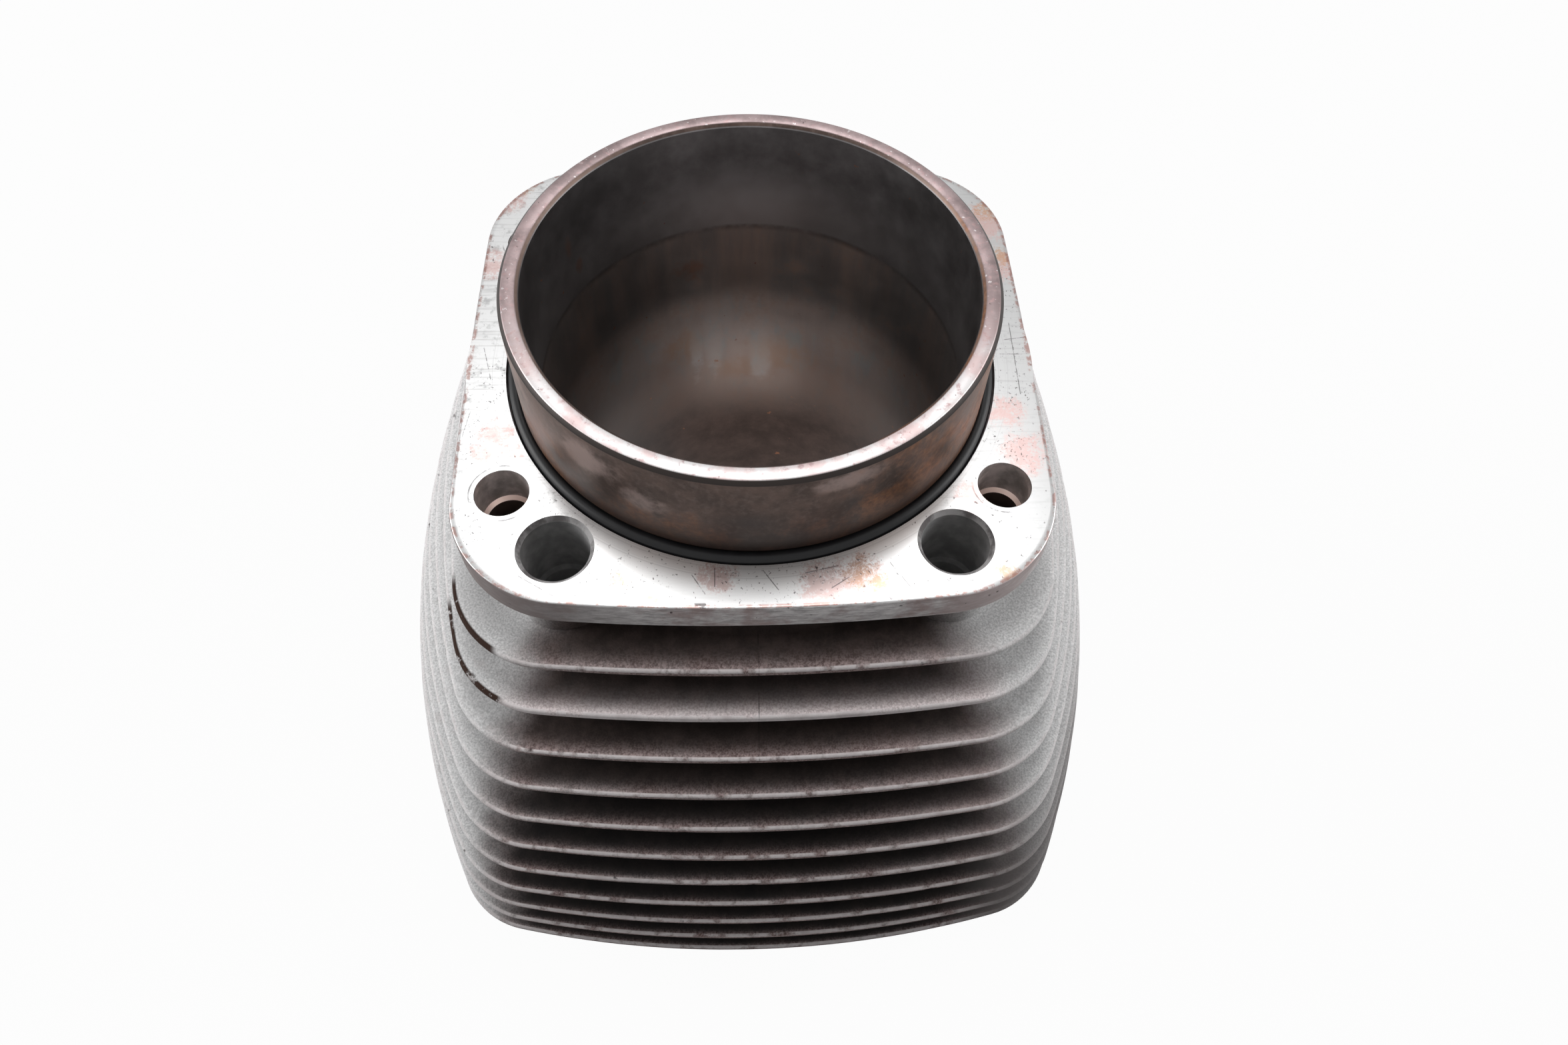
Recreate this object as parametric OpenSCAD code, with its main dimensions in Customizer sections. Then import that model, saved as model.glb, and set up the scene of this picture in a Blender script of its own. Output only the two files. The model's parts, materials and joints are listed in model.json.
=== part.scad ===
// Air-cooled engine cylinder, standing on its head deck with the crankcase spigot up.
// One aluminium casting carries the fins, the base flange and the holes. An iron liner
// is cast into it and stands out of the flange as the spigot, with a sealing ring at its root.
// The origin is on the bore axis in the plane of the head deck, and +Z runs towards the spigot.
// +Y points away from the side that holds the two oil passages.

/* [Cylinder] */
// Diameter of the bore that the piston runs in
bore_d = 95.2; // [88:0.1:98]
// Height from the head deck to the face of the base flange
barrel_h = 125.4; // [105:0.1:150]
// Thickness of aluminium left round the liner between the fins
core_wall = 5.6; // [4:0.1:7]

/* [Liner] */
// Thickness of the spigot's wall
liner_wall = 4.4; // [3.4:0.1:4.8]
// Height that the spigot stands above the flange
spigot_h = 25; // [12:0.5:34]
// How much further out the cast-in length of the liner reaches than the spigot
liner_step = 1.5; // [1:0.1:2]
// Chamfer on both edges of the spigot's rim
rim_chamfer = 0.8; // [0.3:0.1:1.2]
// Chamfer at the bore's lower end, in the head deck
deck_chamfer = 0.5; // [0.2:0.1:1]
// Depth of the groove round the spigot's root that the sealing ring sits in
seat_relief = 1; // [0.7:0.05:1.4]

/* [Sealing ring] */
// Diameter of the ring's cord
cord_d = 3.4; // [2.8:0.1:4]
// Depth of the counterbore in the flange that holds the ring
groove_depth = 2.4; // [1.6:0.1:2.8]
// Gap between the ring and the wall of the counterbore
ring_gap = 0.3; // [0.1:0.05:0.8]
// How far the rubber is squeezed against the liner and the floor
ring_squeeze = 0.1; // [0.05:0.01:0.2]

/* [Base flange] */
// Half of the flange's width, across the oil passages
flange_half_w = 63.1; // [62.8:0.1:68]
// Half of the flange's depth, front to back
flange_half_d = 64.3; // [63.8:0.1:70]
// Thickness of the flange
flange_t = 7.4; // [5:0.1:12]
// Radius of the flange's corners
flange_corner_r = 25.6; // [20:0.1:27]
// How far the flange's sides bow outwards
flange_side_crown = 0.4; // [0.2:0.1:2]
// How far the flange's front and back bow outwards
flange_front_crown = 1.7; // [0.4:0.1:3]
// Bevel along the flange's edges
flange_bevel = 0.6; // [0.2:0.1:1.2]

/* [Fins] */
// Number of fins below the flange, with the head deck as the last one
fin_count = 11; // [8:1:12]
// Half of the width of the head deck
deck_half_w = 98.6; // [90:0.1:110]
// Half of the depth of the head deck, front to back
deck_half_d = 102.7; // [92:0.1:112]
// Radius of the fins' corners
fin_corner_r = 23; // [20:0.1:28]
// How far the head deck's sides bow outwards
deck_side_crown = 16.8; // [10:0.1:20]
// How far the head deck's front and back bow outwards
deck_front_crown = 10; // [4:0.1:13]
// How early the fins grow towards the front and back
front_swell = 0.85; // [0:0.01:1]
// How early the fins grow towards the sides
side_swell = 0.66; // [0:0.01:0.8]
// How much more the lower fins grow towards the sides
side_late_swell = 0.25; // [0:0.01:0.4]
// How early the sides of the fins bow as far as the head deck's
side_crown_swell = 1.3; // [0.4:0.05:1.8]
// Thickness of a fin at its front and back tips
fin_tip_t = 2.4; // [1.6:0.1:3]
// Draft angle on each face of a fin
fin_draft = 1; // [0.5:0.1:1.4]
// Half-height of the upright edge left between a fin's two bevels
fin_edge_h = 0.7; // [0.4:0.1:1]

/* [Stud holes] */
// Distance between the stud holes from side to side
stud_pitch_x = 104.4; // [102:0.1:106]
// Distance between the stud holes from front to back
stud_pitch_y = 72.5; // [68:0.1:76]
// Diameter of the stud holes
stud_hole_d = 9.8; // [8:0.1:10.4]
// Diameter of the dowel counterbores in the base flange
dowel_bore_d = 11.4; // [10.6:0.1:12.4]
// Depth of the dowel counterbores
dowel_bore_depth = 9.3; // [5:0.1:14]
// Wall of the column of metal round each stud hole
stud_column_wall = 4.6; // [3:0.1:5]

/* [Oil passages] */
// Distance between the two oil passages
passage_pitch_x = 80.7; // [78:0.1:84]
// Distance of the oil passages in front of the bore axis
passage_y = 49.87; // [48:0.01:52]
// Diameter of the mouths of the oil passages
passage_mouth_d = 14; // [12.6:0.1:15]
// Diameter of the oil passages further in
passage_d = 12.4; // [9:0.1:12.6]
// Depth of the wider mouth
passage_mouth_depth = 18; // [8:0.5:24]
// Chamfer round each mouth
passage_chamfer = 0.9; // [0.3:0.1:1.2]
// Wall of the column of metal round each passage
passage_column_wall = 4; // [3:0.1:5]

/* [Hidden] */
$fn = 144;

// Radii of the bore, the spigot and the cast-in length of the liner
bore_r = bore_d / 2;
spigot_r = bore_r + liner_wall;
liner_r = spigot_r + liner_step;
seat_r = spigot_r - seat_relief;

// The ring's centre line, and the counterbore that it sits in
ring_r = seat_r + cord_d / 2 - ring_squeeze;
groove_r = ring_r + cord_d / 2 + ring_gap;
groove_z = barrel_h - groove_depth;
ring_z = groove_z + cord_d / 2 - ring_squeeze;
seat_h = cord_d + ring_gap;

// Heights of the fins' middles, counted down from the flange, where fin_count is the head deck
flange_z = barrel_h - flange_t;
fin_pitch = flange_z / fin_count;
function fin_z(k) = flange_z - fin_pitch * k + fin_tip_t / 2;

// The wall between the fins, and the radius where its half-round gap floors meet the fins' faces
core_r = liner_r + core_wall;
root_r = core_r + (fin_pitch - fin_tip_t) / 2;

// Length of a cut that runs clear of the face it starts from
clear = 1;

// A corner stands this far proud of its neighbours and a gap floor bites this deep into the fins
// beside it, so that the two surfaces cross cleanly
blend = 0.03;
bite = 0.06;

// Share of the growth from flange to deck that a fin has reached at share t of the way down
function grown(t, swell) = t * (1 + (1 - t) * swell);
function side_grown(t) = grown(t, side_swell + side_late_swell * t);

// An outline is [half width, half depth, corner radius, side crown, front crown]
flange_outline = [flange_half_w, flange_half_d, flange_corner_r, flange_side_crown, flange_front_crown];
function fin_outline(k) =
    let (t = k / fin_count)
    [
        flange_half_w + (deck_half_w - flange_half_w) * side_grown(t),
        flange_half_d + (deck_half_d - flange_half_d) * grown(t, front_swell),
        fin_corner_r,
        flange_side_crown + (deck_side_crown - flange_side_crown) * grown(t, side_crown_swell),
        flange_front_crown + (deck_front_crown - flange_front_crown) * t
    ];

// Half the thickness of fin k at radius r, and the reach of its farthest corner
function fin_half_t(k, r) = fin_tip_t / 2 + (fin_outline(k)[1] - r) * tan(fin_draft);
function fin_reach(k) = norm([fin_outline(k)[0], fin_outline(k)[1]]);

// Radius of an arc that bows out by crown over a chord of twice half_chord
function arc_r(half_chord, crown) = (half_chord ^ 2 + crown ^ 2) / (2 * crown);

// Centre of a corner arc that is tangent to a side arc of radius side_r and a front arc of front_r
function corner_centre(half_w, half_d, corner_r, side_r, front_r) =
    let (
        a = side_r - half_w,
        b = front_r - half_d,
        p = side_r - corner_r,
        q = front_r - corner_r,
        d = norm([a, b]),
        along = (p ^ 2 - q ^ 2 + d ^ 2) / (2 * d),
        up = sqrt(p ^ 2 - along ^ 2)
    )
    [-a + (along * a + up * b) / d, (-along * b + up * a) / d];

// A plate of thickness h in the shape of an outline: four wide discs give the bowed sides, and
// four small ones round the corners. Every disc has the same bevel, so it runs all the way round.
module plate(outline, h, bevel) {
    half_w = outline[0];
    half_d = outline[1];
    corner_r = outline[2];
    side_r = arc_r(half_d - corner_r, outline[3]);
    front_r = arc_r(half_w - corner_r, outline[4]);
    c = corner_centre(half_w, half_d, corner_r, side_r, front_r);
    // Where the corner arc touches the side arc and the front arc
    side_touch = c + corner_r * (c - [half_w - side_r, 0]) / norm(c - [half_w - side_r, 0]);
    front_touch = c + corner_r * (c - [0, half_d - front_r]) / norm(c - [0, half_d - front_r]);

    intersection() {
        for_sides(side_r - half_w, front_r - half_d, side_r, front_r, h, bevel);
        corner_cut(side_touch, front_touch, h);
    }
    for (x = [-1, 1], y = [-1, 1])
        translate([x * c.x, y * c.y, 0]) disc(corner_r + blend, h, bevel);
}

// What four wide discs have in common, two to the sides and two to the front and back
module for_sides(side_x, front_y, side_r, front_r, h, bevel) {
    intersection() {
        translate([-side_x, 0, 0]) disc(side_r, h, bevel);
        translate([side_x, 0, 0]) disc(side_r, h, bevel);
        translate([0, -front_y, 0]) disc(front_r, h, bevel);
        translate([0, front_y, 0]) disc(front_r, h, bevel);
    }
}

// A lozenge whose sides run through the points where the corner arcs begin and end
module corner_cut(p, q, h) {
    slope = (q.y - p.y) / (q.x - p.x);
    reach_y = p.y - slope * p.x;
    reach_x = -reach_y / slope;
    linear_extrude(height = h + 2 * clear, center = true)
        polygon([[reach_x, 0], [0, reach_y], [-reach_x, 0], [0, -reach_y]]);
}

// A disc with both edges bevelled
module disc(r, h, bevel) {
    rotate_extrude($fn = 360) polygon([
        [0, -h / 2], [r - bevel, -h / 2], [r, bevel - h / 2],
        [r, h / 2 - bevel], [r - bevel, h / 2], [0, h / 2]
    ]);
}

// A fin is a turned disc with a draft on its faces, trimmed to its outline. The head deck is the
// last one, and its lower face is flat.
module fin(k) {
    h = 2 * fin_half_t(k, 0);
    reach = fin_reach(k);
    root = fin_half_t(k, root_r);
    tip = fin_half_t(k, reach);
    lower_root = k == fin_count ? fin_tip_t / 2 : root;
    lower_tip = k == fin_count ? fin_tip_t / 2 : tip;
    intersection() {
        rotate_extrude() polygon([
            [0, -lower_root], [root_r, -lower_root], [reach, -lower_tip],
            [reach, tip], [root_r, root], [0, root]
        ]);
        plate(fin_outline(k), h, h / 2 - fin_edge_h);
    }
}

// The cast wall round the liner, with a half-round floor to each gap between two fins
module core() {
    rotate_extrude() difference() {
        square([root_r, flange_z + flange_t / 2]);
        for (k = [1:fin_count]) {
            low = fin_z(k) + fin_half_t(k, root_r);
            high = k == 1 ? flange_z : fin_z(k - 1) - fin_half_t(k - 1, root_r);
            translate([root_r, (low + high) / 2]) circle(r = (high - low) / 2 + bite, $fn = 48);
        }
    }
}

// Places its children at the four stud holes
module at_studs() {
    for (x = [-1, 1], y = [-1, 1]) translate([x * stud_pitch_x / 2, y * stud_pitch_y / 2, 0]) children();
}

// Places its children at the two oil passages
module at_passages() {
    for (x = [-1, 1]) translate([x * passage_pitch_x / 2, -passage_y, 0]) children();
}

// Columns of metal that carry the stud holes and the oil passages through the fins
module columns() {
    at_studs() cylinder(r = stud_hole_d / 2 + stud_column_wall, h = flange_z + flange_t / 2);
    at_passages() cylinder(r = passage_d / 2 + passage_column_wall, h = flange_z + flange_t / 2);
}

// A stud hole runs right through and opens into a dowel counterbore with a chamfered floor
module stud_hole() {
    step = (dowel_bore_d - stud_hole_d) / 2;
    translate([0, 0, -clear]) cylinder(d = stud_hole_d, h = barrel_h + 2 * clear);
    translate([0, 0, barrel_h - dowel_bore_depth]) cylinder(d = dowel_bore_d, h = dowel_bore_depth + clear);
    translate([0, 0, barrel_h - dowel_bore_depth - step])
        cylinder(d1 = stud_hole_d, d2 = dowel_bore_d, h = step);
}

// An oil passage runs right through, is wider at the flange and is chamfered at both mouths
module oil_passage() {
    step = (passage_mouth_d - passage_d) / 2;
    translate([0, 0, -clear]) cylinder(d = passage_d, h = barrel_h + 2 * clear);
    translate([0, 0, barrel_h - passage_mouth_depth])
        cylinder(d = passage_mouth_d, h = passage_mouth_depth + clear);
    translate([0, 0, barrel_h - passage_mouth_depth - step])
        cylinder(d1 = passage_d, d2 = passage_mouth_d, h = step);
    mouth_chamfer(barrel_h, passage_mouth_d, 1);
    mouth_chamfer(0, passage_d, -1);
}

// A chamfer that widens a hole towards a face at height z, which looks along side
module mouth_chamfer(z, d, side) {
    translate([0, 0, z]) mirror([0, 0, side > 0 ? 0 : 1]) translate([0, 0, -passage_chamfer])
        cylinder(d1 = d, d2 = d + 2 * (passage_chamfer + clear), h = passage_chamfer + clear);
}

// Room for the liner, and the counterbore for the sealing ring at the flange's face
module liner_seat() {
    translate([0, 0, -clear]) cylinder(r = liner_r, h = barrel_h + 2 * clear);
    translate([0, 0, groove_z]) cylinder(r = groove_r, h = groove_depth + clear);
}

module barrel() {
    color("silver") difference() {
        union() {
            core();
            columns();
            for (k = [1:fin_count]) translate([0, 0, fin_z(k)]) fin(k);
            translate([0, 0, flange_z + flange_t / 2]) plate(flange_outline, flange_t, flange_bevel);
        }
        liner_seat();
        at_studs() stud_hole();
        at_passages() oil_passage();
    }
}

// The iron sleeve: cast in up to the counterbore, then relieved for the ring, then the spigot
module liner() {
    rim_z = barrel_h + spigot_h;
    color("dimgray") rotate_extrude() polygon([
        [bore_r + deck_chamfer, 0],
        [liner_r, 0],
        [liner_r, groove_z],
        [seat_r, groove_z],
        [seat_r, groove_z + seat_h],
        [spigot_r, groove_z + seat_h],
        [spigot_r, rim_z - rim_chamfer],
        [spigot_r - rim_chamfer, rim_z],
        [bore_r + rim_chamfer, rim_z],
        [bore_r, rim_z - rim_chamfer],
        [bore_r, deck_chamfer]
    ]);
}

// A round cord, flattened where it is squeezed against the liner and the counterbore's floor
module sealing_ring() {
    color("#202020") rotate_extrude() intersection() {
        translate([ring_r, ring_z]) circle(d = cord_d, $fn = 48);
        translate([seat_r, groove_z]) square(2 * cord_d);
    }
}

barrel();
liner();
sealing_ring();
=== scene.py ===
# %% [markdown]
# # An air-cooled engine cylinder
#
# The object is one cylinder off a large air-cooled engine, standing on its head deck. It has
# three pieces: a cast aluminium barrel with fins, an iron liner that stands out of the base flange
# as the spigot, and a rubber sealing ring round the spigot's root.
#
# This lesson adds what its solid model leaves out: the rounded, slightly uneven edges of a
# casting, the finish of each surface, and the light of a plain studio.

# %% Load the frame
import json
import math

import bmesh
import bpy
from mathutils import Matrix, Vector


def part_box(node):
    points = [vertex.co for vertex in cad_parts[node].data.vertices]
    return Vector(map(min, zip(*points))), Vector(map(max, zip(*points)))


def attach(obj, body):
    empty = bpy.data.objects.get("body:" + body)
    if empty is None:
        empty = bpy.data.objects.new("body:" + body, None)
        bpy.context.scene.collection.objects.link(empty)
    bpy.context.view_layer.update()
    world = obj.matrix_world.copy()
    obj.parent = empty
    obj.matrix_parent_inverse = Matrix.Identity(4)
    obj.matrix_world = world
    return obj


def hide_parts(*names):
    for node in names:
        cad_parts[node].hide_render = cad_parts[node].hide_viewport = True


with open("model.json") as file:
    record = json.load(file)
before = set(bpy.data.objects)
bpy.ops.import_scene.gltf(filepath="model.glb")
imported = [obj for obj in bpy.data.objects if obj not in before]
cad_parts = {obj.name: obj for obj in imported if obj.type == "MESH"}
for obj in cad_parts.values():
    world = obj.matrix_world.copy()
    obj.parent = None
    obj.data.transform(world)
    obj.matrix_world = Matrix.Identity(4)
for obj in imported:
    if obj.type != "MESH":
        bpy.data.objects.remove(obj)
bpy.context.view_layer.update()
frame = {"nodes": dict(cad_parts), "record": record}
MM = 0.001
print("solids:", sorted(frame["nodes"]))

# %% [markdown]
# ## Sizes
#
# The mounts in the record hold the sizes of the bore, the spigot and the through holes, and the
# boxes of the solids give the outer sizes. Reading them keeps each piece where the solid model has
# it. Only what neither tells, such as how strongly a fin's side bows out, is written here.

# %% Read the driving sizes
mounts = {mount["name"]: mount for mount in frame["record"]["mounts"]}


def mount_size(name, key):
    """One of a mount's sizes, in metres."""
    return mounts[name]["dims"][key] * MM


bore_r = mount_size("cylinder_bore", "r_mm")
spigot_r = mount_size("spigot", "r_mm")
stud_hole_r = mount_size("stud_holes", "hole_r_mm")
stud_x = mount_size("stud_holes", "spacing_x_mm") / 2
stud_y = mount_size("stud_holes", "spacing_y_mm") / 2
passage_mouth_r = mount_size("oil_passage_right", "r_mm")
passage_x, passage_y = mounts["oil_passage_right"]["pos_m"][:2]

deck_half_w, deck_half_d, flange_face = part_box("barrel")[1]
liner_r, rim_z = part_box("liner")[1].x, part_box("liner")[1].z
ring_outer_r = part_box("sealing_ring")[1].x
ring_low, ring_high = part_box("sealing_ring")[0].z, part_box("sealing_ring")[1].z
print(f"bore {bore_r / MM:.1f} mm, height to the flange {flange_face / MM:.1f} mm")

# %% Name the sizes that shape the casting
FIN_COUNT = 11
flange_t = 7.4 * MM
flange_under = flange_face - flange_t
fin_pitch = flange_under / FIN_COUNT
fin_tip_t = 2.4 * MM
core_r = liner_r + 5.6 * MM
root_r = core_r + (fin_pitch - fin_tip_t) / 2

BARREL_SIZES = {
    "Fin Pitch": fin_pitch,
    "Flange Underside": flange_under,
    "Flange Thickness": flange_t,
    "Flange Half Width": 63.1 * MM,
    "Flange Half Depth": 64.3 * MM,
    "Flange Corner Radius": 25.6 * MM,
    "Flange Side Crown": 0.4 * MM,
    "Flange Front Crown": 1.7 * MM,
    "Deck Half Width": deck_half_w,
    "Deck Half Depth": deck_half_d,
    "Fin Corner Radius": 23 * MM,
    "Deck Side Crown": 16.8 * MM,
    "Deck Front Crown": 10 * MM,
    "Front Swell": 0.85,
    "Side Swell": 0.66,
    "Late Side Swell": 0.25,
    "Side Crown Swell": 1.3,
    "Tip Thickness": fin_tip_t,
    "Draft Slope": math.tan(math.radians(1)),
    "Root Radius": root_r - 3 * MM,
    "Fin Edge Rounding": 0.75 * MM,
    "Flange Edge Rounding": 0.45 * MM,
    "Edge Wear": 0.5 * MM,
    "Fin Warp": 0.22 * MM,
}

# %% [markdown]
# ## Nodes as expressions
#
# Shapes and finishes both come from node trees, which are sums on values that change from point
# to point. A Python expression is far easier to read than a list of nodes and links, so one small
# class wraps a socket, and each of its operators adds a Math node. A second class wraps the tree:
# one method of it makes any node, and another lays tints over a colour in turn.

# %% Wrap sockets and trees


def operator(operation):
    """A method that adds a Math node for one of Python's operators."""
    return lambda value, other: value.math(operation, other)


class Value:
    """A socket that can be used in expressions."""

    def __init__(self, graph, socket):
        self.graph = graph
        self.socket = socket

    def math(self, operation, *others):
        sockets = dict(enumerate((self, *others)))
        return self.graph.node("ShaderNodeMath", {"operation": operation}, sockets)

    __add__ = __radd__ = operator("ADD")
    __mul__ = __rmul__ = operator("MULTIPLY")
    __sub__, __truediv__, __pow__ = operator("SUBTRACT"), operator("DIVIDE"), operator("POWER")

    def __neg__(self):
        return self * -1.0

    def __rsub__(self, other):
        return -self + other

    def __rtruediv__(self, other):
        return self.graph.node("ShaderNodeMath", {"operation": "DIVIDE"}, {0: other, 1: self})

    def over(self, limit):
        """1 where the value is above the limit, and 0 elsewhere."""
        return self.math("GREATER_THAN", limit)

    def ramp(self, low, high):
        """Rises smoothly from 0 at low to 1 at high, or falls where low is above high."""
        if low > high:
            return 1 - self.ramp(high, low)
        limits = {"Value": self, "From Min": low, "From Max": high}
        return self.graph.node("ShaderNodeMapRange", {"interpolation_type": "SMOOTHSTEP"}, limits)

    def ramp_mm(self, low, high, start=0.0):
        """The same ramp, with its limits in millimetres past start."""
        return self.ramp(start + low * MM, start + high * MM)

    def clamp(self):
        return self.math("MAXIMUM", 0.0).math("MINIMUM", 1.0)


class Graph:
    """A node tree that is written as expressions."""

    def __init__(self, tree):
        self.tree = tree
        tree.nodes.clear()

    def node(self, kind, settings=None, sockets=None, out=0):
        """Adds a node: its settings first, then the values or links of its sockets."""
        node = self.tree.nodes.new(kind)
        for name, value in (settings or {}).items():
            setattr(node, name, value)
        for name, value in (sockets or {}).items():
            if isinstance(value, Value):
                self.tree.links.new(value.socket, node.inputs[name])
            else:
                node.inputs[name].default_value = value
        if isinstance(out, tuple):
            return [Value(self, node.outputs[name]) for name in out]
        return Value(self, node.outputs[out]) if node.outputs else None

    def split(self, vector):
        """The x, y and z of a vector."""
        return self.node("ShaderNodeSeparateXYZ", sockets={0: vector}, out=(0, 1, 2))

    def join(self, x, y, z):
        return self.node("ShaderNodeCombineXYZ", sockets={0: x, 1: y, 2: z})

    def noise(self, vector, scale, detail, roughness, seed=0.0):
        """Soft noise from 0 to 1, with scale in waves a metre. Each seed gives another pattern."""
        sockets = {"Vector": vector, "W": seed, "Scale": scale, "Detail": detail, "Roughness": roughness}
        return self.node("ShaderNodeTexNoise", {"noise_dimensions": "4D"}, sockets)

    def mix(self, factor, first, second):
        """A colour that goes from first to second."""
        settings = {"data_type": "RGBA", "clamp_factor": True}
        colours = [c if isinstance(c, Value) else (*c, 1.0) for c in (first, second)]
        return self.node("ShaderNodeMix", settings, {0: factor, 6: colours[0], 7: colours[1]}, 2)

    def layers(self, colour, *tints):
        """The colour with pairs of an amount and a tint laid over it in turn."""
        for amount, tint in tints:
            colour = self.mix(amount, colour, tint)
        return colour


def length(across, along):
    """The length of a flat vector from its two parts."""
    return (across ** 2 + along ** 2) ** 0.5


# %% [markdown]
# ## The camera
#
# The photograph was taken with a wide lens, close to the object and high above its front edge.
# The lens, the camera's place and the object's proportions were worked out together, from the
# circles of the rim, the flange's holes and the sealing ring. The script turns the three angles
# into the camera's own axes, because that is plainer than rotations that follow each other.

# %% Place the camera
CAMERA_AT = Vector((-3.39, -164.0, 315.0)) * MM
LENS, SENSOR = 25.278, 36.0
YAW, PITCH, ROLL = math.radians(4.32), math.radians(57.73), math.radians(2.67)


def camera_axes():
    """The camera's right, up and backward directions."""
    level = Vector((math.cos(YAW), -math.sin(YAW), 0))
    flat_ahead = Vector((math.sin(YAW), math.cos(YAW), 0)) * math.cos(PITCH)
    ahead = flat_ahead - Vector((0, 0, math.sin(PITCH)))
    above = level.cross(ahead)
    right = level * math.cos(ROLL) + above * math.sin(ROLL)
    up = above * math.cos(ROLL) - level * math.sin(ROLL)
    return right, up, -ahead


camera_data = bpy.data.cameras.new("camera")
camera_data.lens = LENS
camera_data.sensor_width = SENSOR
camera_data.clip_start = 0.01
camera = bpy.data.objects.new("camera", camera_data)
bpy.context.scene.collection.objects.link(camera)
camera.matrix_world = Matrix.Translation(CAMERA_AT) @ Matrix(camera_axes()).transposed().to_4x4()
bpy.context.scene.camera = camera
print("camera stands", round(CAMERA_AT.length, 3), "m from the deck's middle")

# %% [markdown]
# ## The fins and the flange
#
# The base flange and the eleven fins are one family. Each is a plate whose four sides bow out on
# wide arcs that meet in round corners. From the flange down, each plate is a little larger than
# the last, quickly at first towards the front and back and later towards the sides, and its
# sides bow more. A rule like that is what Geometry Nodes are for. One flat grid is copied once for
# each plate, and a formula bends each copy: the grid's columns go round the outline, and its
# rows go round the plate's section, out along the top face, over the edge and back below.
# Noise wears the edge back by up to half a millimetre, as on a casting that was knocked about.

# %% Build the tree of the plates
COLUMNS = 360
SECTION_ROWS = 14
FACE_SHARE = 0.45
WOBBLE_WAVES, KNOCK_WAVES, WARP_WAVES = 9.0, 31.0, 2.3
NOISE_STEP = 0.37
MERGE_DISTANCE = 0.002 * MM


def plate_inputs(tree):
    """Adds the named inputs, and returns them as values."""
    kinds = {"Geometry": "Geometry", "Fin Count": "Int", "Seed": "Float", "Material": "Material"}
    kinds.update(dict.fromkeys(BARREL_SIZES, "Float"))
    tree.interface.new_socket("Geometry", in_out="OUTPUT", socket_type="NodeSocketGeometry")
    for name, kind in kinds.items():
        tree.interface.new_socket(name, in_out="INPUT", socket_type="NodeSocket" + kind)
    graph = Graph(tree)
    names = [item.name for item in tree.interface.items_tree if item.in_out == "INPUT"]
    values = graph.node("NodeGroupInput", out=tuple(names))
    return graph, dict(zip(names, values))


def stored(g, geometry, name, value):
    """The geometry with a value kept on each point under this name."""
    sockets = {"Geometry": geometry, "Name": name, "Value": value}
    return g.node("GeometryNodeStoreNamedAttribute", {"domain": "POINT", "data_type": "FLOAT"}, sockets)


def end_tree(g, size, geometry):
    """Ends a tree in real geometry that has the material."""
    whole = g.node("GeometryNodeRealizeInstances", sockets={"Geometry": geometry})
    painted = g.node("GeometryNodeSetMaterial", sockets={"Geometry": whole, "Material": size["Material"]})
    g.node("NodeGroupOutput", sockets={"Geometry": painted})


def outline_reach(g, size, plate, angle):
    """How far a plate's outline is from the axis in the direction of angle."""
    share = plate / size["Fin Count"]

    def grown(name, swell):
        amount = share * (1 + (1 - share) * swell)
        return size["Flange " + name] + (size["Deck " + name] - size["Flange " + name]) * amount

    half_w = grown("Half Width", size["Side Swell"] + size["Late Side Swell"] * share)
    half_d = grown("Half Depth", size["Front Swell"])
    side_crown = grown("Side Crown", size["Side Crown Swell"])
    front_crown = grown("Front Crown", 0.0)
    is_fin = plate.over(0.5)
    flange_corner = size["Flange Corner Radius"]
    corner = flange_corner + (size["Fin Corner Radius"] - flange_corner) * is_fin

    # Radii of the wide arcs, and how far behind the axis their centres are
    side_r = ((half_d - corner) ** 2 + side_crown ** 2) / (side_crown * 2)
    front_r = ((half_w - corner) ** 2 + front_crown ** 2) / (front_crown * 2)
    side_back = side_r - half_w
    front_back = front_r - half_d

    # Centre of the corner arc, which touches both wide arcs from inside
    to_side, to_front = side_r - corner, front_r - corner
    apart = (side_back ** 2 + front_back ** 2) ** 0.5
    along = (to_side ** 2 - to_front ** 2 + apart ** 2) / (apart * 2)
    up = (to_side ** 2 - along ** 2) ** 0.5
    centre_x = (along * side_back + up * front_back) / apart - side_back
    centre_y = (up * side_back - along * front_back) / apart

    # Where a ray from the axis meets each of the three arcs, all in the first quarter
    ray_x, ray_y = angle.math("COSINE").math("ABSOLUTE"), angle.math("SINE").math("ABSOLUTE")
    side_hit = (side_r ** 2 - (side_back * ray_y) ** 2) ** 0.5 - side_back * ray_x
    front_hit = (front_r ** 2 - (front_back * ray_x) ** 2) ** 0.5 - front_back * ray_y
    nearest = centre_x * ray_x + centre_y * ray_y
    inside = corner ** 2 - centre_x ** 2 - centre_y ** 2 + nearest ** 2
    corner_hit = nearest + inside.math("MAXIMUM", 0.0) ** 0.5

    # The corner arc counts only between the points where it touches the other two
    from_x, from_y = ray_x * corner_hit - centre_x, ray_y * corner_hit - centre_y
    past_side = ((centre_x + side_back) * from_y - centre_y * from_x).over(0.0)
    before_front = (from_x * (centre_y + front_back) - from_y * centre_x).over(0.0)
    in_corner = past_side * before_front * inside.over(0.0)
    reach = corner_hit * in_corner + side_hit.math("MINIMUM", front_hit) * (1 - in_corner)
    return reach, half_d, is_fin


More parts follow.
